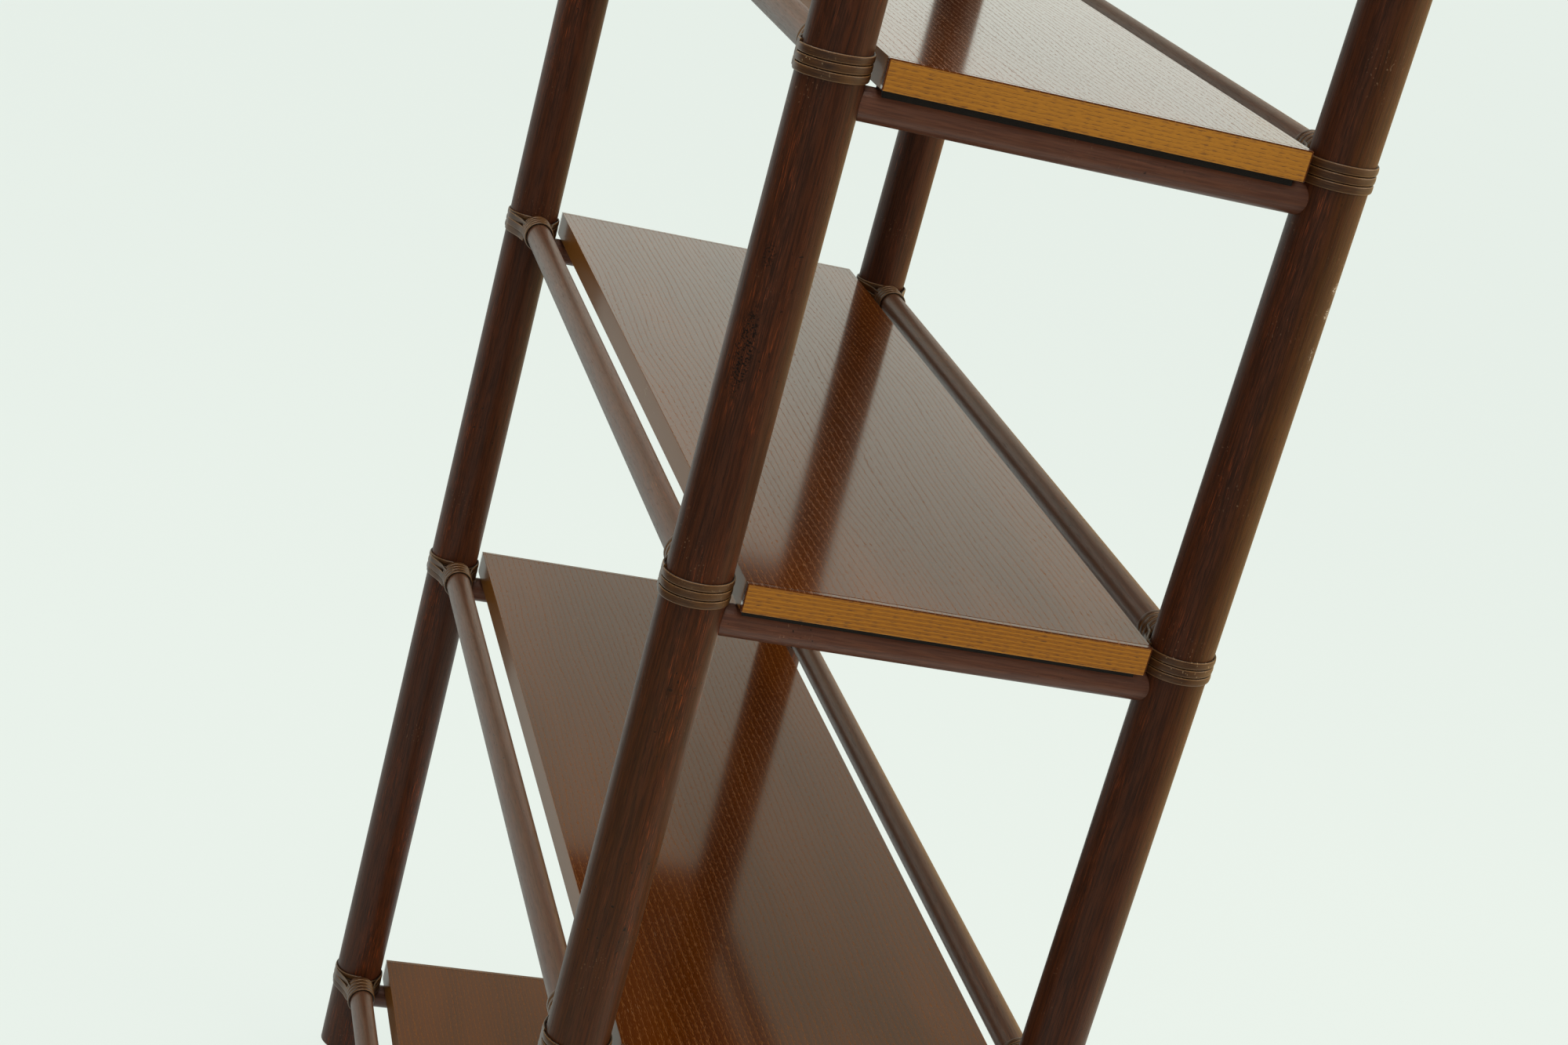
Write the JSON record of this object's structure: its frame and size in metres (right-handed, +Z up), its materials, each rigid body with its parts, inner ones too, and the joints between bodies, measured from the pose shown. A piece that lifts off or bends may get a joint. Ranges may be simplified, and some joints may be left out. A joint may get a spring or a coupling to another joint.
{
  "type": "room divider bookcase",
  "caption": "Open room divider bookcase: dark round posts and rails lashed with flat leather lace, with loose stained oak shelves lying on the cross rails.",
  "frame": {"origin": "centre of the footprint on the floor", "axes": "+Z up, X across the depth, Y along the length"},
  "size_m": [0.4222, 0.9748, 1.8],
  "materials": {
    "pole": "dark red-brown stained pole, satin lacquer",
    "shelf_veneer": "dark stained open-pore oak veneer, glossy lacquer",
    "oak_lipping": "golden oak lipping, satin lacquer",
    "leather_lace": "brown leather lace, worn satin",
    "felt": "black felt",
    "steel": "plain steel pin"
  },
  "bodies": {
    "frame": {"cross_rail_back_1": "pole", "cross_rail_back_2": "pole", "cross_rail_back_3": "pole", "cross_rail_back_4": "pole", "cross_rail_back_5": "pole", "cross_rail_front_1": "pole", "cross_rail_front_2": "pole", "cross_rail_front_3": "pole", "cross_rail_front_4": "pole", "cross_rail_front_5": "pole", "long_rail_left_1": "pole", "long_rail_left_2": "pole", "long_rail_left_3": "pole", "long_rail_left_4": "pole", "long_rail_left_5": "pole", "long_rail_right_1": "pole", "long_rail_right_2": "pole", "long_rail_right_3": "pole", "long_rail_right_4": "pole", "long_rail_right_5": "pole", "post_back_left": "pole", "post_back_right": "pole", "post_front_left": "pole", "post_front_right": "pole", "post_lashing_1": "leather_lace", "post_lashing_2": "leather_lace", "post_lashing_3": "leather_lace", "post_lashing_4": "leather_lace", "post_lashing_5": "leather_lace", "rail_lashing_1": "leather_lace", "rail_lashing_2": "leather_lace", "rail_lashing_3": "leather_lace", "rail_lashing_4": "leather_lace", "rail_lashing_5": "leather_lace", "rail_pins": "steel", "rest_pads_1": "felt", "rest_pads_2": "felt", "rest_pads_3": "felt", "rest_pads_4": "felt", "rest_pads_5": "felt"},
    "shelf_1": {"shelf_board_1": "shelf_veneer", "lipping_front_1": "oak_lipping", "lipping_back_1": "oak_lipping"},
    "shelf_2": {"shelf_board_2": "shelf_veneer", "lipping_front_2": "oak_lipping", "lipping_back_2": "oak_lipping"},
    "shelf_3": {"shelf_board_3": "shelf_veneer", "lipping_front_3": "oak_lipping", "lipping_back_3": "oak_lipping"},
    "shelf_4": {"shelf_board_4": "shelf_veneer", "lipping_front_4": "oak_lipping", "lipping_back_4": "oak_lipping"},
    "shelf_5": {"shelf_board_5": "shelf_veneer", "lipping_front_5": "oak_lipping", "lipping_back_5": "oak_lipping"}
  },
  "joints": [
    {"name": "shelf_1_lift", "type": "slide", "parent": "frame", "child": "shelf_1", "axis": [0, 0, 1], "range_m": [0, 0.446]},
    {"name": "shelf_2_lift", "type": "slide", "parent": "frame", "child": "shelf_2", "axis": [0, 0, 1], "range_m": [0, 0.325]},
    {"name": "shelf_3_lift", "type": "slide", "parent": "frame", "child": "shelf_3", "axis": [0, 0, 1], "range_m": [0, 0.325]},
    {"name": "shelf_4_lift", "type": "slide", "parent": "frame", "child": "shelf_4", "axis": [0, 0, 1], "range_m": [0, 0.325]},
    {"name": "shelf_5_lift", "type": "slide", "parent": "frame", "child": "shelf_5", "axis": [0, 0, 1], "range_m": [0, 0.11]}
  ]
}
